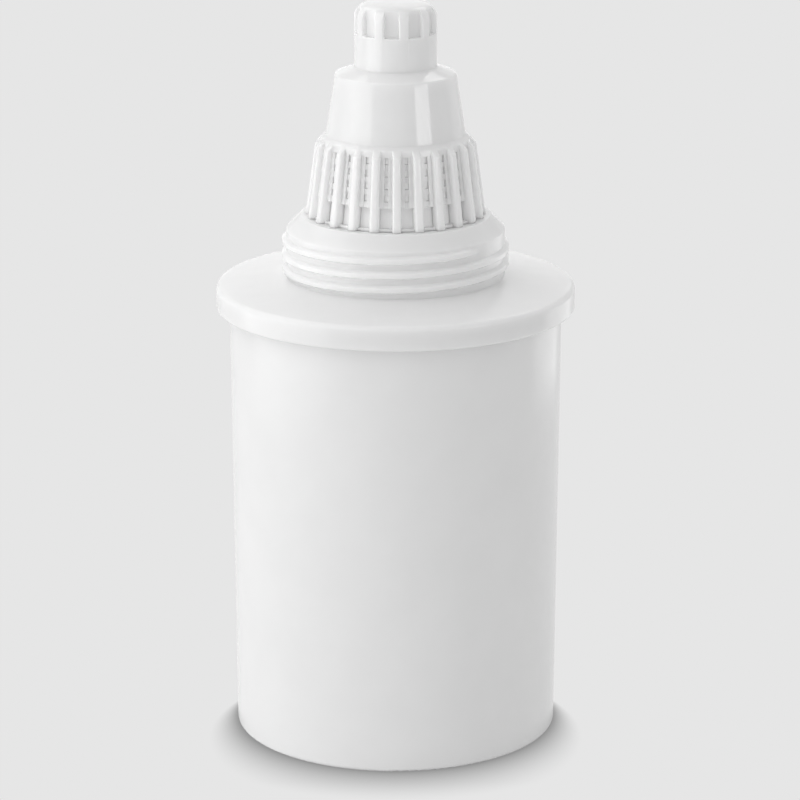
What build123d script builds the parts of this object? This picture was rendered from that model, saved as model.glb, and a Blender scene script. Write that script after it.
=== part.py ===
from build123d import *
import math
import os

# Jug water filter cartridge: a drained cup of filter media, closed by a cover with a flange and a
# threaded neck, with a windowed strainer cap snapped into the neck.
# Millimetres, +Z up, origin in the middle of the foot ring's underside.

# Cup
cup_foot_radius = 36.3
cup_taper = 0.8  # the wall is this much larger in radius under the rim than at the foot
cup_height = 101.0
cup_wall = 1.6
cup_floor = 2.0
foot_height = 2.0
foot_round = 0.8
rim_thickness = 2.4

# Drain slots in the cup's floor and in the upper grid, as two rings of radial slots
slot_width = 1.6
inner_slots = 8
inner_slot_start = 5.0
inner_slot_length = 9.0
outer_slots = 16
outer_slot_start = 17.5
slot_margin = 3.7  # the outer slots stop this far short of the cup's wall

# Cover
flange_overhang = 2.9  # how far the flange stands out past the cup's wall
flange_rise = 2.1  # the flange's top climbs this much from its edge to the neck
flange_edge_round = 1.2
cover_wall = 1.8
skirt_wall = 1.6
skirt_drop = 3.6  # how far the skirt hangs below the cup's rim face
skirt_round = 0.6
plug_depth = 4.6  # the ring that reaches down into the cup
plug_wall = 1.6

# Threaded neck
neck_radius = 24.3
neck_length = 13.7
neck_wall = 1.8
neck_foot_round = 0.3
lip_bevel = 3.2
lip_thickness = 1.6
lip_round = 0.5
thread_pitch = 3.2
thread_height = 1.0
thread_root = 2.0
thread_crest = 0.9
thread_foot_margin = 0.35  # bare neck below the thread
thread_head_margin = 0.4  # bare neck between the thread and the bevel
thread_turn = -101.0  # degrees from the front to the thread's lower end

# Strainer cap: ribbed cone
lip_margin = 1.1  # flat of the neck's lip that shows outside the cone's foot
cone_taper = 2.2  # the cone's head is this much smaller in radius than its foot
cone_length = 16.0
rib_count = 24
rib_width = 2.05  # at the cone's foot
rib_depth = 1.25
rib_turn = 0.8  # degrees that the front rib stands off the front
slit_width = 0.9  # slit down the middle of each groove
slit_depth = 0.6
ring_depth = 0.7  # depth of the gaps between the rings inside the cone
window_break = 0.1  # the slits and the ring gaps overlap by this, which opens the windows
foot_ring_height = 0.6
foot_window_height = 4.5
ring_height = 1.28
window_height = 1.4
window_rows = 4

# Strainer cap: smooth cone, knob, and the skirt that snaps into the neck
cap_wall = 1.5
shoulder_width = 2.3  # how far the shoulder steps in above the ribs
shoulder_length = 2.2
upper_taper = 2.1
upper_length = 13.4
upper_edge_round = 0.6
brow_length = 1.5  # the slope from the smooth cone's head to the knob
knob_radius = 9.1
knob_length = 14.2
knob_foot_round = 0.4
knob_round = 3.0
crown_radius = 4.5
crown_height = 0.5
crown_round = 14.0
knob_top_wall = 2.0
pocket_count = 10
pocket_width = 3.3
pocket_depth = 1.2
pocket_ledge = 7.5  # height of the pockets' ledge above the knob's foot
pocket_turn = -6.0  # degrees from the front to the nearest pocket, positive to the right
skirt_step = 0.25
skirt_reach = 2.6  # skirt length below the neck's lip
bead_size = 0.6
bead_height = 1.4

# Media, felts and screens
resin_depth = 34.0
felt_thickness = 3.0
screen_thickness = 0.4
grid_thickness = 2.0

# Clearances
weld_gap = 0.1
media_gap = 0.1
snap_gap = 0.12
sleeve_gap = 0.05

# Places that follow from the sizes
FRONT = -90.0  # the front looks along -Y
cup_rim_radius = cup_foot_radius + cup_taper
flange_radius = cup_rim_radius + flange_overhang
outer_slot_length = cup_foot_radius - cup_wall - slot_margin - outer_slot_start
floor_top = foot_height + cup_floor
rim_under = cup_height - rim_thickness
flange_edge = cup_height + cover_wall
neck_foot = flange_edge + flange_rise
neck_top = neck_foot + neck_length
lip_under = neck_top - lip_thickness
cone_head = neck_top + cone_length
upper_foot = cone_head + shoulder_length
upper_head = upper_foot + upper_length
knob_foot = upper_head + brow_length
knob_top = knob_foot + knob_length
plug_bottom = cup_height - plug_depth
cone_foot_radius = neck_radius - lip_bevel - lip_margin
cone_head_radius = cone_foot_radius - cone_taper
upper_foot_radius = cone_head_radius - shoulder_width
upper_head_radius = upper_foot_radius - upper_taper
cone_wall = rib_depth + slit_depth + ring_depth - window_break
foot_window_low = neck_top + foot_ring_height
foot_window_high = foot_window_low + foot_window_height
rib_pitch = 360 / rib_count
groove_angle = rib_pitch - math.degrees(rib_width / cone_foot_radius)
neck_skirt_radius = cone_foot_radius - rib_depth - skirt_step
lip_bore = neck_skirt_radius + snap_gap


def cup_inside(height):
    """Inner radius of the cup's drafted wall at a height."""
    return cup_foot_radius + cup_taper * height / rim_under - cup_wall


def cone_outside(height):
    """Radius over the ribs of the strainer cone at a height."""
    taper = (cone_head_radius - cone_foot_radius) / cone_length
    return cone_foot_radius + taper * (height - neck_top)


def turned(corners):
    """Solid of revolution from corners given as (radius, height) or (radius, height, rounding)."""
    path = FilletPolyline(
        [(corner[0], corner[1]) for corner in corners],
        radius=[corner[2] if len(corner) > 2 else 0 for corner in corners],
        close=True,
    )
    return revolve(make_face(Plane.XZ * path), axis=Axis.Z)


def radial_slots(bottom, thickness):
    """Two rings of slots that cut a disc through."""
    rings = (
        (inner_slots, inner_slot_start, inner_slot_length),
        (outer_slots, outer_slot_start, outer_slot_length),
    )
    slots = []
    for count, start, length in rings:
        slot = Pos(start + length / 2, 0, bottom + thickness / 2) * Box(length, slot_width, 2 * thickness)
        slots += [Rot(0, 0, 360 * index / count) * slot for index in range(count)]
    return slots


def housing_cup():
    rim_radius = flange_radius - skirt_wall - weld_gap
    foot_inside = cup_inside(0)
    shell = turned([
        (cup_foot_radius, 0, foot_round),
        (cup_rim_radius, rim_under),
        (rim_radius, rim_under),
        (rim_radius, cup_height),
        (cup_inside(cup_height), cup_height),
        (cup_inside(floor_top), floor_top),
        (0, floor_top),
        (0, foot_height),
        (foot_inside, foot_height),
        (foot_inside, 0),
    ])
    return shell - radial_slots(foot_height, cup_floor)


def neck_thread():
    """One right-hand ridge wound up the neck, rooted a little way into its wall."""
    bite = neck_wall / 4
    flank = (thread_root - thread_crest) / 2 / thread_height
    root = thread_root / 2 + flank * bite
    first = neck_foot + thread_foot_margin + thread_root / 2
    last = neck_top - lip_bevel - thread_head_margin - thread_root / 2
    path = Helix(thread_pitch, last - first, neck_radius)
    ridge = Polyline(
        (-bite, -root),
        (thread_height, -thread_crest / 2),
        (thread_height, thread_crest / 2),
        (-bite, root),
        close=True,
    )
    section = make_face(Plane(origin=path @ 0, x_dir=(1, 0, 0), z_dir=path % 0) * ridge)
    return Pos(0, 0, first) * Rot(0, 0, FRONT + thread_turn) * sweep(section, path=path, is_frenet=True)


def neck_cover():
    slope = flange_rise / (flange_radius - neck_radius)
    bore = neck_radius - neck_wall
    plug_outside = cup_inside(plug_bottom) - weld_gap
    plug_inside = plug_outside - plug_wall
    ceiling = neck_foot + slope * neck_wall - cover_wall
    bevel_line = neck_radius + neck_top - lip_bevel - neck_wall * math.sqrt(2)
    shell = turned([
        (flange_radius, cup_height - skirt_drop, skirt_round),
        (flange_radius, flange_edge, flange_edge_round),
        (neck_radius, neck_foot, neck_foot_round),
        (neck_radius, neck_top - lip_bevel, lip_round),
        (neck_radius - lip_bevel, neck_top, lip_round),
        (lip_bore, neck_top),
        (lip_bore, lip_under),
        (bevel_line - lip_under, lip_under),
        (bore, bevel_line - bore),
        (bore, ceiling),
        (plug_inside, ceiling - slope * (plug_inside - bore)),
        (plug_inside, plug_bottom),
        (plug_outside, plug_bottom),
        (plug_outside, cup_height),
        (flange_radius - skirt_wall, cup_height),
        (flange_radius - skirt_wall, cup_height - skirt_drop),
    ])
    return shell + neck_thread()


def ring_gaps():
    """Lower and upper height of each gap between the rings inside the strainer cone, from the foot up."""
    pitch = ring_height + window_height
    first = foot_window_high + ring_height
    return [(first + pitch * row, first + pitch * row + window_height) for row in range(window_rows)]


def cap_shell():
    """The cap without ribs and pockets: rings inside the cone are part of the turned section."""
    skirt_bottom = lip_under - skirt_reach
    skirt_inside = cone_outside(foot_window_low) - cone_wall - sleeve_gap - screen_thickness
    bead_radius = neck_skirt_radius + bead_size
    cavity = knob_radius - pocket_depth - cap_wall
    crown_edge = knob_top - crown_height
    outside = [
        (neck_skirt_radius, skirt_bottom),
        (neck_skirt_radius, lip_under - bead_height),
        (bead_radius, lip_under - bead_height / 2),
        (bead_radius, lip_under),
        (neck_skirt_radius, lip_under),
        (neck_skirt_radius, neck_top),
        (cone_foot_radius, neck_top),
        (cone_head_radius, cone_head),
        (upper_foot_radius, upper_foot),
        (upper_head_radius, upper_head, upper_edge_round),
        (knob_radius, knob_foot, knob_foot_round),
        (knob_radius, crown_edge, knob_round),
        (crown_radius, knob_top, crown_round),
        (0, knob_top),
    ]
    inside = [
        (0, knob_top - knob_top_wall),
        (cavity, knob_top - knob_top_wall),
        (cavity, knob_foot - cap_wall),
        (upper_head_radius - cap_wall, upper_head - cap_wall),
        (upper_foot_radius - cap_wall, upper_foot),
        (cone_outside(cone_head) - cone_wall, cone_head),
    ]
    for low, high in reversed(ring_gaps()):
        inside += [
            (cone_outside(high) - cone_wall, high),
            (cone_outside(high) - cone_wall + ring_depth, high),
            (cone_outside(low) - cone_wall + ring_depth, low),
            (cone_outside(low) - cone_wall, low),
        ]
    inside += [
        (cone_outside(foot_window_low) - cone_wall, foot_window_low),
        (skirt_inside, foot_window_low),
        (skirt_inside, skirt_bottom),
    ]
    return turned(outside + inside)


def inlet_screen():
    """Mesh sleeve that lines the strainer cone behind its windows and stands on the ledge inside its foot."""
    low = foot_window_low
    high = ring_gaps()[-1][1]
    reach = cone_wall + sleeve_gap
    return turned([
        (cone_outside(low) - reach, low),
        (cone_outside(high) - reach, high),
        (cone_outside(high) - reach - screen_thickness, high),
        (cone_outside(low) - reach - screen_thickness, low),
    ])


def cone_cuts(low, high, depth, angle):
    """The same cut, of an even depth below the ribs' crests, in the middle of each gap between ribs."""
    clear = cone_foot_radius + rib_depth
    section = Polyline(
        (cone_outside(low) - depth, low),
        (clear, low),
        (clear, high),
        (cone_outside(high) - depth, high),
        close=True,
    )
    cut = revolve(make_face(Plane.XZ * section), axis=Axis.Z, revolution_arc=angle)
    start = FRONT + rib_turn + (rib_pitch - angle) / 2
    return [Rot(0, 0, start + rib_pitch * index) * cut for index in range(rib_count)]


def strainer_cuts():
    """Grooves that leave the ribs and run out on the shoulder, slits that cross the ring gaps, and windows."""
    slit_angle = math.degrees(slit_width / cone_foot_radius)
    grooves = cone_cuts(neck_top - skirt_step, upper_foot, rib_depth, groove_angle)
    slits = cone_cuts(foot_window_high, cone_head, rib_depth + slit_depth, slit_angle)
    windows = cone_cuts(foot_window_low, foot_window_high, cone_wall + cap_wall, groove_angle)
    return grooves + slits + windows


def knob_pockets():
    """Flat-floored finger pockets that run up and out through the knob's rounded edge."""
    height = knob_length - pocket_ledge
    reach = 2 * pocket_depth
    pocket = Box(reach, pocket_width, 2 * height)
    pocket = Pos(knob_radius - pocket_depth + reach / 2, 0, knob_foot + pocket_ledge + height) * pocket
    start = FRONT + pocket_turn
    return [Rot(0, 0, start + 360 * index / pocket_count) * pocket for index in range(pocket_count)]


def strainer_cap():
    return cap_shell() - strainer_cuts() - knob_pockets()


def media(bottom, top):
    """A filling that follows the cup's drafted wall."""
    return turned([
        (0, bottom),
        (cup_inside(bottom) - media_gap, bottom),
        (cup_inside(top) - media_gap, top),
        (0, top),
    ])


def stack():
    """Everything between the cup's floor and the cover's plug, from the floor up."""
    resin_foot = floor_top + screen_thickness + felt_thickness
    resin_top = resin_foot + resin_depth
    grid_foot = plug_bottom - grid_thickness
    felt_top = grid_foot - screen_thickness
    carbon_top = felt_top - felt_thickness
    return {
        "outlet_screen": media(floor_top, floor_top + screen_thickness),
        "lower_felt": media(floor_top + screen_thickness, resin_foot),
        "resin_bed": media(resin_foot, resin_top),
        "middle_felt": media(resin_top, resin_top + felt_thickness),
        "carbon_bed": media(resin_top + felt_thickness, carbon_top),
        "upper_felt": media(carbon_top, felt_top),
        "upper_screen": media(felt_top, grid_foot),
        "upper_grid": media(grid_foot, plug_bottom) - radial_slots(grid_foot, grid_thickness),
    }


parts = {
    "housing_cup": housing_cup(),
    "neck_cover": neck_cover(),
    "strainer_cap": strainer_cap(),
    "inlet_screen": inlet_screen(),
    **stack(),
}

os.makedirs("parts", exist_ok=True)
for name, shape in parts.items():
    export_step(shape, f"parts/{name}.step")
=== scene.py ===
import cmath
import math

import bpy
import numpy as np
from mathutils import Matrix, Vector


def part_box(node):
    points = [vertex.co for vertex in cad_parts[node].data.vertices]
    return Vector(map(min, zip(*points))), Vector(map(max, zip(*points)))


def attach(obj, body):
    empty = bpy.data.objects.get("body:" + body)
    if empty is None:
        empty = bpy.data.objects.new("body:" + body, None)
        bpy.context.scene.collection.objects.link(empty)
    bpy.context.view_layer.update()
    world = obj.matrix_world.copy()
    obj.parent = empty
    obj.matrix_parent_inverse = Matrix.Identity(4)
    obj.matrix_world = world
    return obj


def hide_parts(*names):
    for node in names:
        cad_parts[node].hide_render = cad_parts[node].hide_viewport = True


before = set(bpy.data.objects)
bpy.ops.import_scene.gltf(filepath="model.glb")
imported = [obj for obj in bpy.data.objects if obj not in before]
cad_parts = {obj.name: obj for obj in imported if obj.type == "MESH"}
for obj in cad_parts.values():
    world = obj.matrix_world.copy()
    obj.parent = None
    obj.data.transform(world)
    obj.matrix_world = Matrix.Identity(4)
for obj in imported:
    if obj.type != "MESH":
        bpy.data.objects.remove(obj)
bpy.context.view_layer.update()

# Sizes below are in millimetres and degrees. Pieces are turned into metres when their mesh is made.
MM = 0.001
TINY = 1e-6  # how closely two equal lengths agree
ROW_PLAY = 0.01  # how near a height a row of points is taken to stand at it
FRONT = -90.0
ARC_STEP = math.radians(11)
SHARP_ANGLE = math.radians(38)
NOISE_LOW, NOISE_HIGH = 0.3, 0.7  # most of a noise's values lie between these

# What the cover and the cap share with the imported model
cover_low, cover_high = (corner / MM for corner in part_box("neck_cover"))
cap_low, cap_high = (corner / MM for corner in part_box("strainer_cap"))
flange_radius = cover_high.x
neck_top = cover_high.z
knob_top = cap_high.z

# Cover: flange, plug ring and threaded neck
cover_wall = 1.8
lip_thickness = 1.6
plug_wall = 1.6
flange_rise = 2.1
skirt_depth = 3.6
rim_face = 101.0
rim_radius = 38.4
flange_edge = rim_face + cover_wall
flange_edge_round = 1.2
skirt_foot = rim_face - skirt_depth
skirt_round = 0.6
foot_round = 0.2
neck_radius = 24.3
neck_foot = flange_edge + flange_rise
neck_foot_round = 0.3
lip_bevel = 3.2
lip_round = 0.5
lip_bore = 18.62
lip_bore_round = 0.15
lip_under = neck_top - lip_thickness
bevel_under = neck_radius + neck_top - lip_bevel - cover_wall * math.sqrt(2)  # radius plus height along it
neck_bore = neck_radius - cover_wall
ceiling = 103.34
ceiling_slope = 0.134
ceiling_round = 0.4
plug_outside = 35.36
plug_inside = plug_outside - plug_wall
cover_columns = 384

# The thread: one right-hand ridge
thread_pitch = 3.2
thread_first = neck_foot + 1.35
thread_last = neck_top - lip_bevel - 1.4
thread_height = 1.0
thread_root = 2.0
thread_crest = 0.9
thread_start = FRONT - 101.0
thread_fade = 0.05  # turns over which each end fades out
thread_row = 0.17
thread_below = 0.5  # neck left without rows of points under and over the thread
thread_above = 0.3

# Strainer cap: ribbed cone
rib_count = 24
rib_turn = 0.8
rib_depth = 1.25
cone_foot_radius = 20.0
cone_height = 16.0
cone_head = neck_top + cone_height
cone_taper = 2.2 / cone_height
half_rib = 2.94
half_slit = 1.29
slit_depth = 0.3
slit_margin = 0.2
rib_flank = (  # share of half a rib from its middle, and share of the groove's depth there
    (0, 0),
    (0.42, 0.01),
    (0.72, 0.05),
    (0.9, 0.19),
    (1, 0.5),
    (1.07, 0.96),
)
ring_inside = 2.45
gap_inside = 1.85
sleeve_ledge = 0.45
sleeve_gap = 0.05
sleeve_wall = 0.4
sleeve_columns = 144
foot_window = (neck_top + 0.6, neck_top + 5.1)
ring_height = 1.28
window_height = 1.4
window_rows = 4
foot_window_rows = 4
groove_edges = (5, 10)  # columns past a rib's middle between which its groove is open
slit_edges = (7, 8)
slits_low = foot_window[1] + 0.15
slits_high = cone_head - 0.05
cone_foot_round = 0.15
cone_head_round = 0.45

# Strainer cap: shoulder, smooth cone, knob and skirt
upper_foot = cone_head + 2.2
upper_foot_radius = 15.5
upper_foot_round = 0.5
upper_head = upper_foot + 13.4
upper_head_radius = 13.4
upper_head_round = 0.6
shoulder_rows = 9
upper_cone_rows = 8
knob_foot = upper_head + 1.5
knob_foot_round = 0.4
knob_radius = 9.1
knob_floor_radius = 7.9
crown_radius = 4.5
crown_bend = 14.0
crown_drop = 0.5
knob_edge_round = 3.0
knob_wall = 2.7
knob_roof = 2.0
pocket_count = 10
pocket_turn = -6.0
pocket_ledge = knob_foot + 7.5
pocket_open = pocket_ledge + 0.03
pocket_upper = pocket_ledge + 0.2
pocket_head = knob_top - 3.5
pocket_rows = 5
half_pocket = 10.65
pocket_flat = 9  # columns from a pocket's middle to its corner
pocket_corner = (  # degrees past a pocket's corner, and how far the surface still lies inside the knob there
    (0.25, 0.3),
    (0.6, 0.12),
    (1.1, 0.03),
    (1.8, 0),
)
ledge_drop = 0.12
ledge_rise = 0.15
skirt_radius = 18.5
skirt_bottom = cap_low.z
cap_wall = 1.5
inner_round = 0.5
bead_proud = 0.6
bead_height = 1.4
bead_round = 0.3
bead_top_round = 0.08

# The photograph's camera
camera_back = 792.4
camera_up = 303.5
camera_aside = 0.98
camera_pitch = 16.062
camera_lens = 164.7
camera_sensor = 36
camera_clip = 0.05  # metres

# The pale ground behind and under the cartridge, as the camera sees it, with a painted shadow close under the
# cartridge. Lengths here are in metres.
ground_level = 0.791
ground_size = 12
ground_paint = 0.78
# Painted shadow: ambient occlusion darkens the ground's colour as the camera sees it, reaching further
# towards the front than the back
shadow_level = 0.30
shadow_full = 0.5  # how open to light the ground is where its shadow is full
shadow_front = -0.042
shadow_back = 0.012
shadow_reach_front = 0.017
shadow_reach_back = 0.0005
shadow_samples = 32

# Light from all round, and the height that the lamps aim at
room_level = 0.57
lamp_aim = 85.0

# Softboxes as (name, azimuth, elevation, distance, width, height, watts), with lengths in metres
softboxes = (
    ("left", -71, 12, 0.9, 1.0, 0.9, 1.8),
    ("left_low", -62, 1.4, 0.6, 0.5, 0.2, 0.2),
    ("right_front", 48, 8.6, 0.9, 0.42, 0.14, 0.42),
    ("right_back", 125, 12, 0.9, 0.5, 0.9, 0.28),
    ("back", 180, 12, 0.9, 0.45, 0.9, 0.33),
    ("back_left", -140, 12, 0.9, 0.5, 0.9, 0.1),
    ("over_left_front", -50, 50, 0.9, 0.7, 0.4, 0.95),
    ("over_left_back", -125, 50, 0.9, 0.9, 0.4, 1.0),
    ("over_back_right", 150, 44, 0.9, 0.35, 0.25, 0.28),
    ("foot_left", -75, -10.6, 0.3, 0.4, 0.06, 0.09),
    ("foot_right", 125, -10.6, 0.3, 0.2, 0.06, 0.03),
)


def smooth(share):
    """Eases a share from 0 to 1 and holds it outside."""
    share = np.clip(share, 0, 1)
    return share * share * (3 - 2 * share)


def rounded(corners, closed=True):
    """Path through corners given as (radius, height) or (radius, height, rounding), as complex numbers."""
    spots = [complex(corner[0], corner[1]) for corner in corners]
    path = []
    for index, corner in enumerate(corners):
        here = spots[index]
        ends = not closed and index in (0, len(corners) - 1)
        if len(corner) < 3 or ends:
            path.append(here)
            continue
        back = spots[index - 1] - here
        ahead = spots[(index + 1) % len(corners)] - here
        back /= abs(back)
        ahead /= abs(ahead)
        half = abs(cmath.phase(ahead / back)) / 2
        reach = corner[2] / math.tan(half)
        centre = here + (back + ahead) / abs(back + ahead) * corner[2] / math.sin(half)
        spoke = here + back * reach - centre
        turn = cmath.phase((here + ahead * reach - centre) / spoke)
        steps = max(2, math.ceil(abs(turn) / ARC_STEP))
        path += [centre + spoke * cmath.exp(1j * turn * step / steps) for step in range(steps + 1)]
    return path


def with_heights(path, heights):
    """The path with a point added wherever a stretch of it crosses one of the heights."""
    finer = []
    for start, end in zip(path, path[1:]):
        finer.append(start)
        low, high = sorted((start.imag, end.imag))
        inside = [height for height in heights if low + TINY < height < high - TINY]
        for height in sorted(inside, reverse=end.imag < start.imag):
            finer.append(start + (end - start) * (height - start.imag) / (end.imag - start.imag))
    return finer + path[-1:]


def finished_mesh(name, points, faces):
    """A piece from points in millimetres, smooth but for its real edges, riding with the cartridge."""
    mesh = bpy.data.meshes.new(name)
    mesh.from_pydata((np.array(points) * MM).tolist(), [], faces)
    mesh.validate()
    mesh.shade_smooth()
    mesh.set_sharp_from_angle(angle=SHARP_ANGLE)
    piece = bpy.data.objects.new(name, mesh)
    bpy.context.scene.collection.objects.link(piece)
    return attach(piece, "root")


def grid_points(radius, height, angle):
    """Points of a grid of rows round the axis, from its radii, heights and angles."""
    turn = np.radians(angle)
    across, along = radius * np.cos(turn), radius * np.sin(turn)
    return np.stack([across, along, np.broadcast_to(height, radius.shape)], axis=-1).reshape(-1, 3).tolist()


def thread_relief(angle, height):
    """How far the thread stands out of the neck at an angle and a height."""
    turns = (thread_last - thread_first) / thread_pitch
    phase = ((angle - thread_start) / 360) % 1
    relief = np.zeros(np.broadcast(angle, height).shape)
    for turn in range(math.ceil(turns) + 1):
        along = phase + turn
        ends = smooth(along / thread_fade) * smooth((turns - along) / thread_fade)
        away = np.abs(height - thread_first - thread_pitch * along)
        flank = smooth((thread_root / 2 - away) / ((thread_root - thread_crest) / 2))
        relief = np.maximum(relief, thread_height * ends * flank)
    return relief


def loop_faces(rows, columns):
    """Faces of a closed skin made of rows round the axis, whose last row meets the first."""
    faces = []
    for row in range(rows):
        low, high = row * columns, (row + 1) % rows * columns
        for column in range(columns):
            beside = (column + 1) % columns
            faces.append((low + column, low + beside, high + beside, high + column))
    return faces


def cover_piece():
    """The moulded cover: one closed skin from the flange's skirt over the neck and back down inside."""
    path = rounded([
        (flange_radius, skirt_foot, skirt_round),
        (flange_radius, flange_edge, flange_edge_round),
        (neck_radius, neck_foot, neck_foot_round),
        (neck_radius, neck_top - lip_bevel, lip_round),
        (neck_radius - lip_bevel, neck_top, lip_round),
        (lip_bore, neck_top, lip_bore_round),
        (lip_bore, lip_under),
        (bevel_under - lip_under, lip_under),
        (neck_bore, bevel_under - neck_bore),
        (neck_bore, ceiling, ceiling_round),
        (plug_inside, ceiling - ceiling_slope * (plug_inside - neck_bore), ceiling_round),
        (plug_inside, cover_low.z, foot_round),
        (plug_outside, cover_low.z, foot_round),
        (plug_outside, rim_face),
        (rim_radius, rim_face),
        (rim_radius, skirt_foot, foot_round),
    ])
    rows = np.arange(neck_foot + thread_below, neck_top - lip_bevel - thread_above, thread_row)
    split = max(index for index, spot in enumerate(path) if abs(spot.real - neck_radius) < TINY) + 1
    path = with_heights(path[:split], rows) + path[split:]
    spots = np.array(path)[:, None]
    angle = np.linspace(0, 360, cover_columns, endpoint=False)[None, :]
    on_neck = np.abs(spots.real - neck_radius) < TINY
    radius = spots.real + on_neck * thread_relief(angle, spots.imag)
    points = grid_points(radius, spots.imag, np.broadcast_to(angle, radius.shape))
    piece = finished_mesh("cover_moulding", points, loop_faces(len(path), cover_columns))
    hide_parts("neck_cover")
    return piece


def cone_outside(height):
    """Radius over the ribs' crests, carried on past the cone's head."""
    return cone_foot_radius - cone_taper * (height - neck_top)


def ring_gaps():
    """Lower and upper height of each gap between the rings inside the cone, from the foot up."""
    pitch = ring_height + window_height
    lows = [foot_window[1] + ring_height + pitch * row for row in range(window_rows)]
    return [(low, low + window_height) for low in lows]


def sleeve_piece():
    """The mesh sleeve behind the windows, pressed a little way into the gaps between the rings."""
    gaps = ring_gaps()
    reach = ring_inside + sleeve_gap
    low, high = foot_window[0], gaps[-1][1]
    path = [(cone_outside(low) - reach, low)]
    for gap_low, gap_high in gaps:
        pressed = (gap_low + sleeve_gap, gap_high - sleeve_gap)
        path.append((cone_outside(pressed[0]) - reach, pressed[0]))
        path += [(cone_outside(height) - gap_inside - sleeve_gap, height) for height in pressed]
        path.append((cone_outside(pressed[1]) - reach, pressed[1]))
    path += [(cone_outside(height) - reach - sleeve_wall, height) for height in (high, low)]
    radius, height = np.array(path).T[:, :, None]
    angle = np.linspace(0, 360, sleeve_columns, endpoint=False)[None, :]
    wide = (len(path), sleeve_columns)
    points = grid_points(np.broadcast_to(radius, wide), height, np.broadcast_to(angle, wide))
    piece = finished_mesh("strainer_mesh", points, loop_faces(*wide))
    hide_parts("inlet_screen")
    return piece


def strainer_columns():
    """Angles of the columns at the ribs, and their shares of the grooves' depth and of the slits' depth."""
    pitch = 360 / rib_count
    slit_edge = pitch / 2 - half_slit
    steps = [share * half_rib for share, _ in rib_flank] + [slit_edge - slit_margin, slit_edge]
    groove = [depth for _, depth in rib_flank] + [1, 1]
    slit = [0] * (len(steps) - 1) + [1]
    back = range(len(steps) - 1, 0, -1)
    offsets = np.array(steps + [pitch - steps[step] for step in back])
    groove = np.array(groove + [groove[step] for step in back])
    slit = np.array(slit + [slit[step] for step in back])
    starts = FRONT + rib_turn + pitch * np.arange(rib_count)
    return (starts[:, None] + offsets).ravel(), np.tile(groove, rib_count), np.tile(slit, rib_count)


def knob_columns(count):
    """Angles of the columns at the knob, and the radius that the pockets leave at each."""
    pitch = 360 / pocket_count
    past, sunk = np.array(pocket_corner).T
    ridge = half_pocket + past[-1]
    plain = count // pocket_count // 2 + 1 - pocket_flat - len(past)
    half = np.concatenate([
        np.linspace(0, half_pocket, pocket_flat),
        half_pocket + past,
        ridge + (pitch / 2 - ridge) * np.linspace(0, 1, plain + 1)[1:],
    ])
    floor = knob_floor_radius / np.cos(np.radians(half[:pocket_flat]))
    left = np.concatenate([floor, knob_radius - sunk, np.full(plain, knob_radius)])
    offsets = np.concatenate([half, pitch - half[-2:0:-1]])
    left = np.concatenate([left, left[-2:0:-1]])
    starts = FRONT + pocket_turn + pitch * np.arange(pocket_count)
    lead = round((rib_turn - pocket_turn) * count / 360)
    angles = (starts[:, None] + offsets).ravel()
    angles = np.concatenate([angles[lead:], angles[:lead] + 360])
    return angles, np.roll(np.tile(left, pocket_count), -lead)


def cap_paths():
    """The cap's outside from the top down, its inside from the skirt up, and the rows at the windows."""
    gaps = ring_gaps()
    outside = rounded([
        (0, knob_top),
        (crown_radius, knob_top, crown_bend),
        (knob_radius, knob_top - crown_drop, knob_edge_round),
        (knob_radius, knob_foot, knob_foot_round),
        (upper_head_radius, upper_head, upper_head_round),
        (upper_foot_radius, upper_foot, upper_foot_round),
        (cone_outside(cone_head), cone_head, cone_head_round),
        (cone_foot_radius, neck_top, cone_foot_round),
        (skirt_radius, neck_top),
        (skirt_radius, lip_under),
        (skirt_radius + bead_proud, lip_under, bead_top_round),
        (skirt_radius + bead_proud, lip_under - bead_height / 2, bead_round),
        (skirt_radius, lip_under - bead_height, bead_round),
        (skirt_radius, skirt_bottom, foot_round),
    ], closed=False)
    foot_rows = np.linspace(*foot_window, foot_window_rows).tolist()
    rows = foot_rows + [slits_low, slits_high]
    rows += [height for gap in gaps for height in gap]
    rows += np.linspace(cone_head, upper_foot, shoulder_rows)[1:-1].tolist()
    rows += np.linspace(upper_foot, upper_head, upper_cone_rows)[1:-1].tolist()
    rows += [pocket_ledge - ledge_drop, pocket_ledge, pocket_open, pocket_upper]
    rows += np.linspace(pocket_ledge, pocket_head, pocket_rows)[1:].tolist()
    outside = with_heights(outside, rows)
    skirt_inside = cone_outside(foot_window[0]) - ring_inside - sleeve_ledge
    inside = [complex(skirt_inside, skirt_bottom), complex(skirt_inside, foot_window[0])]
    first_rows = {foot_window: len(inside)}
    inside += [complex(cone_outside(height) - ring_inside, height) for height in foot_rows]
    for low, high in gaps:
        inside.append(complex(cone_outside(low) - ring_inside, low))
        first_rows[low, high] = len(inside)
        inside.append(complex(cone_outside(low) - gap_inside, low))
        inside.append(complex(cone_outside(high) - gap_inside, high))
        inside.append(complex(cone_outside(high) - ring_inside, high))
    inside += rounded([
        (cone_outside(cone_head) - ring_inside, cone_head),
        (upper_foot_radius - cap_wall, upper_foot, inner_round),
        (upper_head_radius - cap_wall, upper_head - cap_wall, inner_round),
        (knob_radius - knob_wall, knob_foot - cap_wall, inner_round),
        (knob_radius - knob_wall, knob_top - knob_roof, inner_round),
        (0, knob_top - knob_roof),
    ], closed=False)
    return outside, inside, first_rows


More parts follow.
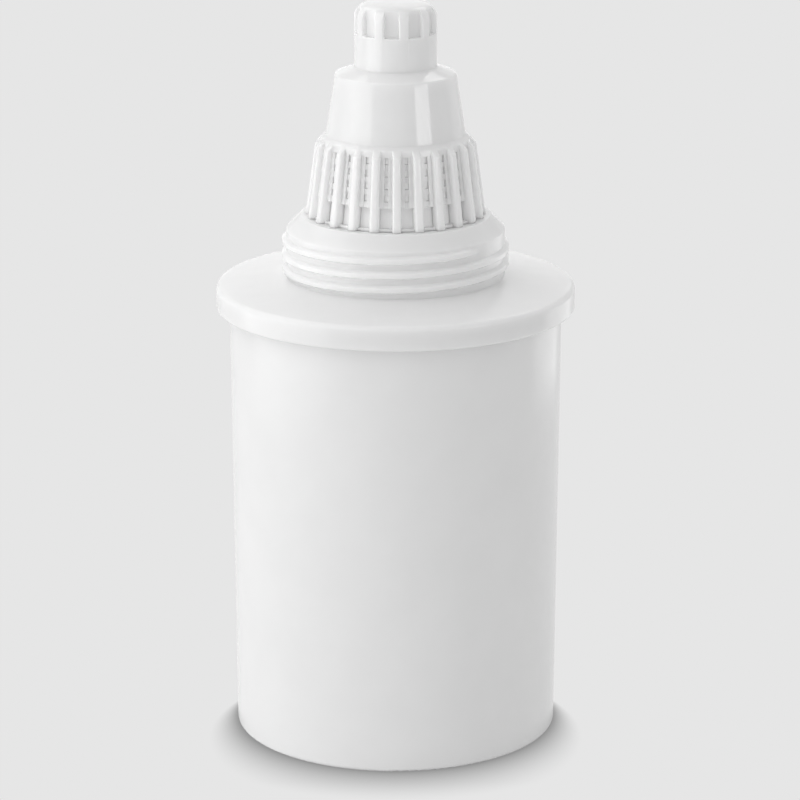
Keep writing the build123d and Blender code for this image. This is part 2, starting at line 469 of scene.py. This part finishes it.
def cap_radius(outside, groove, slit, pocket):
    """Radius of the cap's outside at each row and column: ribs, slits, and the knob's pockets."""
    rows = np.array(outside)[:, None]
    radius = np.repeat(rows.real, len(groove), axis=1)
    height = rows.imag
    floor = cone_outside(height) - rib_depth
    ribbed = (height >= neck_top - TINY) & (height <= upper_foot)
    depth = np.where(ribbed, np.maximum(0, rows.real - floor), 0)
    radius = radius - depth * groove
    slotted = (height > slits_low - ROW_PLAY) & (height < slits_high + ROW_PLAY)
    radius = radius - slotted * slit_depth * slit
    above = height - pocket_ledge + ledge_drop
    pocketed = smooth(above / ledge_rise)
    ledge = ledge_drop * smooth(above / ledge_drop)
    pocket_drop = np.maximum(0, rows.real - pocket)
    open_above = height > pocket_open - ROW_PLAY
    return radius - np.where(open_above, pocket_drop, np.minimum(pocket_drop, ledge) * pocketed)


def cap_piece():
    """The strainer cap: one closed skin whose outside and inside are joined round every window."""
    ribs, groove, slit = strainer_columns()
    count = len(ribs)
    pockets, pocket = knob_columns(count)
    outside, inside, first_rows = cap_paths()
    radius = cap_radius(outside, groove, slit, pocket)
    height = np.array(outside).imag
    path = np.array(outside + inside)[:, None]
    radius = np.concatenate([radius, np.repeat(np.array(inside).real[:, None], count, axis=1)])
    share = smooth((path.imag - upper_foot) / (upper_head - upper_foot))
    angle = ribs + (pockets - ribs) * share
    points = grid_points(radius[1:-1], path.imag[1:-1], angle[1:-1])
    top, bottom = len(points), len(points) + 1
    points += [(0, 0, knob_top), (0, 0, path[-1, 0].imag)]

    def vertex(row, column):
        return (row - 1) * count + column % count

    holes = []
    for (low, high), first in first_rows.items():
        upper = int(np.argmin(np.abs(height - high)))
        lower = int(np.argmin(np.abs(height - low)))
        left, right = groove_edges if (low, high) == foot_window else slit_edges
        for rib in range(0, count, count // rib_count):
            holes.append((upper, lower, len(outside) + first, rib, left, right))
    gone = set()
    bridges = []
    for upper, lower, first, rib, left, right in holes:
        last = first + lower - upper

        def inner(row):
            return last - (row - upper)

        for row in range(upper, lower):
            for column in range(rib + left, rib + right):
                gone.add((row, column % count))
                gone.add((inner(row) - 1, column % count))
            bridges.append((vertex(row, rib + left), vertex(row + 1, rib + left),
                            vertex(inner(row + 1), rib + left), vertex(inner(row), rib + left)))
            bridges.append((vertex(row + 1, rib + right), vertex(row, rib + right),
                            vertex(inner(row), rib + right), vertex(inner(row + 1), rib + right)))
        for column in range(rib + left, rib + right):
            bridges.append((vertex(upper, column + 1), vertex(upper, column),
                            vertex(inner(upper), column), vertex(inner(upper), column + 1)))
            bridges.append((vertex(lower, column), vertex(lower, column + 1),
                            vertex(inner(lower), column + 1), vertex(inner(lower), column)))
    last_row = len(path) - 2
    faces = bridges
    for row in range(1, last_row):
        for column in range(count):
            if (row, column) not in gone:
                faces.append((vertex(row, column), vertex(row + 1, column),
                              vertex(row + 1, column + 1), vertex(row, column + 1)))
    for column in range(count):
        faces.append((top, vertex(1, column), vertex(1, column + 1)))
        faces.append((bottom, vertex(last_row, column + 1), vertex(last_row, column)))
    piece = finished_mesh("cap_moulding", points, faces)
    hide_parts("strainer_cap")
    return piece


class Shading:
    """A node material being built: a Principled shader and helpers that feed it."""

    def __init__(self, name, roughness, **sockets):
        self.material = bpy.data.materials.new(name)
        self.material.use_nodes = True
        self.tree = self.material.node_tree
        self.shader = self.tree.nodes["Principled BSDF"]
        self.place = self.add("ShaderNodeTexCoord").outputs["Object"]
        self.shader.inputs["Roughness"].default_value = roughness
        for socket, value in sockets.items():
            self.shader.inputs[socket.replace("_", " ")].default_value = value

    def add(self, kind, **settings):
        node = self.tree.nodes.new(kind)
        for key, value in settings.items():
            setattr(node, key, value)
        return node

    def link(self, output, socket):
        self.tree.links.new(output, socket)

    def noise(self, scale, detail=3.0, stretch=(1, 1, 1)):
        """Noise of a scale in cycles a metre, stretched along the axes."""
        mapping = self.add("ShaderNodeMapping")
        mapping.inputs["Scale"].default_value = stretch
        self.link(self.place, mapping.inputs["Vector"])
        noise = self.add("ShaderNodeTexNoise")
        noise.inputs["Scale"].default_value = scale
        noise.inputs["Detail"].default_value = detail
        self.link(mapping.outputs["Vector"], noise.inputs["Vector"])
        return noise.outputs["Fac"]

    def span(self, value, low, high, start=NOISE_LOW, end=NOISE_HIGH):
        """A value mapped to a narrow span."""
        node = self.add("ShaderNodeMapRange")
        node.inputs["From Min"].default_value = start
        node.inputs["From Max"].default_value = end
        node.inputs["To Min"].default_value = low
        node.inputs["To Max"].default_value = high
        self.link(value, node.inputs["Value"])
        return node.outputs["Result"]

    def tint(self, value, colours, start=NOISE_LOW, end=NOISE_HIGH):
        """Colour that runs between two tones with a value."""
        ramp = self.add("ShaderNodeValToRGB")
        for element, position, colour in zip(ramp.color_ramp.elements, (start, end), colours):
            element.position = position
            element.color = (*colour, 1)
        self.link(value, ramp.inputs["Fac"])
        self.link(ramp.outputs["Color"], self.shader.inputs["Base Color"])

    def rough(self, value, low, high):
        self.link(self.span(value, low, high), self.shader.inputs["Roughness"])

    def relief(self, value, depth, normal=None):
        """Bump of a depth in metres, on top of another bump where one is given."""
        bump = self.add("ShaderNodeBump")
        bump.inputs["Strength"].default_value = 1.0
        bump.inputs["Distance"].default_value = depth
        self.link(value, bump.inputs["Height"])
        if normal is not None:
            self.link(normal, bump.inputs["Normal"])
        self.link(bump.outputs["Normal"], self.shader.inputs["Normal"])
        return bump.outputs["Normal"]


def moulded(name, tones, roughness, spread, gloss, wave, glow=0.0, glow_depth=0.001):
    """White polypropylene that lets some light through, with faint mottling, uneven gloss and slow waves."""
    made = Shading(name, roughness, Subsurface_Weight=glow, Subsurface_Scale=glow_depth,
                   IOR=1.49, Specular_IOR_Level=gloss)
    made.shader.inputs["Subsurface Radius"].default_value = (1, 1, 1)
    made.tint(made.noise(scale=90), tones)
    made.rough(made.noise(scale=160, detail=4), low=roughness - spread, high=roughness + spread)
    slow = made.relief(made.noise(scale=90, detail=2, stretch=(1, 1, 0.06)), depth=wave)
    made.relief(made.noise(scale=700, detail=2), depth=wave / 10, normal=slow)
    return made.material


def woven(name, tones, threads, depth):
    """Fine nylon screen: three crossing sets of threads, of which each face shows two."""
    made = Shading(name, roughness=0.55)
    waves = []
    for direction in ("X", "Y", "Z"):
        wave = made.add("ShaderNodeTexWave", bands_direction=direction)
        wave.inputs["Scale"].default_value = threads
        made.link(made.place, wave.inputs["Vector"])
        waves.append(wave.outputs["Fac"])
    cross = waves[0]
    for wave in waves[1:]:
        both = made.add("ShaderNodeMath", operation="MAXIMUM")
        made.link(cross, both.inputs[0])
        made.link(wave, both.inputs[1])
        cross = both.outputs["Value"]
    made.tint(cross, tones, start=0.0, end=0.8)
    made.rough(made.noise(scale=500), low=0.45, high=0.65)
    made.relief(cross, depth)
    return made.material


def felted(name, tones):
    """Needled felt: short fibres lying every way."""
    made = Shading(name, roughness=0.9, Sheen_Weight=0.3)
    fibres = made.noise(scale=1400, detail=6, stretch=(1, 0.3, 1))
    made.tint(fibres, tones)
    made.rough(made.noise(scale=700), low=0.8, high=0.98)
    made.relief(fibres, depth=0.0004)
    return made.material


def granular(name, tones, grains, roughness, depth):
    """Loose grains: cells of uneven tone with gaps between them."""
    made = Shading(name, roughness)
    cells = made.add("ShaderNodeTexVoronoi")
    cells.inputs["Scale"].default_value = grains
    made.link(made.place, cells.inputs["Vector"])
    made.tint(cells.outputs["Color"], tones, start=0.1, end=0.9)
    made.rough(made.noise(scale=900), low=roughness - 0.1, high=roughness + 0.1)
    made.relief(cells.outputs["Distance"], depth=-depth)
    return made.material


def dress(node, material):
    """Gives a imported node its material."""
    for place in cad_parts[node].material_slots:
        place.material = material


def ground():
    """Pale floor. The camera sees it at an even level, with a painted shadow from ambient occlusion that
    darkens it only close under the cartridge.
    """
    bpy.ops.mesh.primitive_plane_add(size=ground_size)
    floor = bpy.context.object
    floor.name = "floor"
    material = bpy.data.materials.new("floor_paint")
    material.use_nodes = True
    tree = material.node_tree
    tree.nodes.clear()
    link = tree.links.new
    output = tree.nodes.new("ShaderNodeOutputMaterial")
    mix = tree.nodes.new("ShaderNodeMixShader")
    paint = tree.nodes.new("ShaderNodeBsdfDiffuse")
    paint.inputs["Color"].default_value = (ground_paint, ground_paint, ground_paint, 1)
    shown = tree.nodes.new("ShaderNodeEmission")
    # Painted shadow: ambient occlusion darkens the colour that the camera and gloss rays see, with a reach
    # that is longer towards the front than the back
    near = tree.nodes.new("ShaderNodeAmbientOcclusion")
    near.samples = shadow_samples
    place = tree.nodes.new("ShaderNodeNewGeometry")
    axes = tree.nodes.new("ShaderNodeSeparateXYZ")
    link(place.outputs["Position"], axes.inputs["Vector"])
    reach = tree.nodes.new("ShaderNodeMapRange")
    reach.inputs["From Min"].default_value = shadow_front
    reach.inputs["From Max"].default_value = shadow_back
    reach.inputs["To Min"].default_value = shadow_reach_front
    reach.inputs["To Max"].default_value = shadow_reach_back
    link(axes.outputs["Y"], reach.inputs["Value"])
    link(reach.outputs["Result"], near.inputs["Distance"])
    level = tree.nodes.new("ShaderNodeMapRange")
    level.inputs["From Min"].default_value = shadow_full
    level.inputs["From Max"].default_value = 1.0
    level.inputs["To Min"].default_value = shadow_level
    level.inputs["To Max"].default_value = ground_level
    link(near.outputs["AO"], level.inputs["Value"])
    link(level.outputs["Result"], shown.inputs["Color"])
    link(seen(tree), mix.inputs["Fac"])
    link(paint.outputs["BSDF"], mix.inputs[1])
    link(shown.outputs["Emission"], mix.inputs[2])
    link(mix.outputs["Shader"], output.inputs["Surface"])
    floor.data.materials.append(material)


def seen(tree):
    """1 where a ray comes from the camera, a gloss or a clear surface, and 0 where light is only gathered."""
    path = tree.nodes.new("ShaderNodeLightPath")
    total = path.outputs["Is Camera Ray"]
    for kind in ("Is Glossy Ray", "Is Transmission Ray"):
        most = tree.nodes.new("ShaderNodeMath")
        most.operation = "MAXIMUM"
        tree.links.new(total, most.inputs[0])
        tree.links.new(path.outputs[kind], most.inputs[1])
        total = most.outputs["Value"]
    return total


def surround(level):
    """Even light from all round, and the pale backdrop that the camera sees."""
    world = bpy.data.worlds.new("studio")
    bpy.context.scene.world = world
    world.use_nodes = True
    tree = world.node_tree
    background = tree.nodes["Background"]
    background.inputs["Color"].default_value = (1, 1, 1, 1)
    strength = tree.nodes.new("ShaderNodeMapRange")
    strength.inputs["To Min"].default_value = level
    strength.inputs["To Max"].default_value = ground_level
    tree.links.new(seen(tree), strength.inputs["Value"])
    tree.links.new(strength.outputs["Result"], background.inputs["Strength"])


def softbox(name, azimuth, elevation, distance, width, height, power):
    """A soft lamp aimed at the cartridge. Azimuth 0 is the front and 90 the right side."""
    lamp = bpy.data.lights.new(name, "AREA")
    lamp.shape = "RECTANGLE"
    lamp.size = width
    lamp.size_y = height
    lamp.energy = power
    light = bpy.data.objects.new(name, lamp)
    turn, rise = math.radians(azimuth + FRONT), math.radians(elevation)
    away = Vector((math.cos(turn) * math.cos(rise), math.sin(turn) * math.cos(rise), math.sin(rise)))
    target = Vector((0, 0, lamp_aim * MM))
    light.location = target + away * distance
    light.rotation_euler = away.to_track_quat("Z", "Y").to_euler()
    bpy.context.scene.collection.objects.link(light)


def photo_camera():
    camera = bpy.data.cameras.new("camera")
    camera.sensor_width = camera_sensor
    camera.lens = camera_lens
    camera.clip_start = camera_clip
    eye = bpy.data.objects.new("camera", camera)
    eye.location = (camera_aside * MM, -camera_back * MM, camera_up * MM)
    eye.rotation_euler = (math.radians(90 - camera_pitch), 0, 0)
    bpy.context.scene.collection.objects.link(eye)
    bpy.context.scene.camera = eye


bpy.context.scene.view_settings.view_transform = "Standard"
photo_camera()
cap = cap_piece()
cover = cover_piece()
sleeve = sleeve_piece()

white = ((0.88, 0.88, 0.88), (0.9, 0.9, 0.9))
bright = ((0.94, 0.94, 0.94), (0.97, 0.97, 0.97))
pale = ((0.92, 0.92, 0.92), (0.95, 0.95, 0.95))
cream = ((0.68, 0.67, 0.62), (0.86, 0.85, 0.81))
black = ((0.012, 0.012, 0.013), (0.05, 0.05, 0.052))
amber = ((0.5, 0.28, 0.07), (0.75, 0.5, 0.2))
cap.data.materials.append(moulded(
    "cap_polypropylene", bright,
    roughness=0.1, spread=0.02, gloss=0.8, wave=0.00002, glow=1.0, glow_depth=0.0015))
cover.data.materials.append(moulded(
    "cover_polypropylene", pale,
    roughness=0.16, spread=0.02, gloss=0.5, wave=0.00003, glow=1.0, glow_depth=0.002))
dress("housing_cup", moulded(
    "cup_polypropylene", white, roughness=0.2, spread=0.03, gloss=0.5, wave=0.00002))
dress("upper_grid", moulded(
    "grid_polypropylene", white, roughness=0.5, spread=0.05, gloss=0.5, wave=0.00004))
screen = woven("nylon_screen", bright, threads=900, depth=0.00001)
sleeve.data.materials.append(screen)
felt = felted("polyester_felt", cream)
for node in ("upper_screen", "outlet_screen"):
    dress(node, screen)
for node in ("upper_felt", "middle_felt", "lower_felt"):
    dress(node, felt)
dress("carbon_bed", granular("carbon_grains", black, grains=900, roughness=0.6, depth=0.0008))
dress("resin_bed", granular("resin_beads", amber, grains=1300, roughness=0.3, depth=0.0006))

ground()
surround(room_level)
for placed in softboxes:
    softbox(*placed)
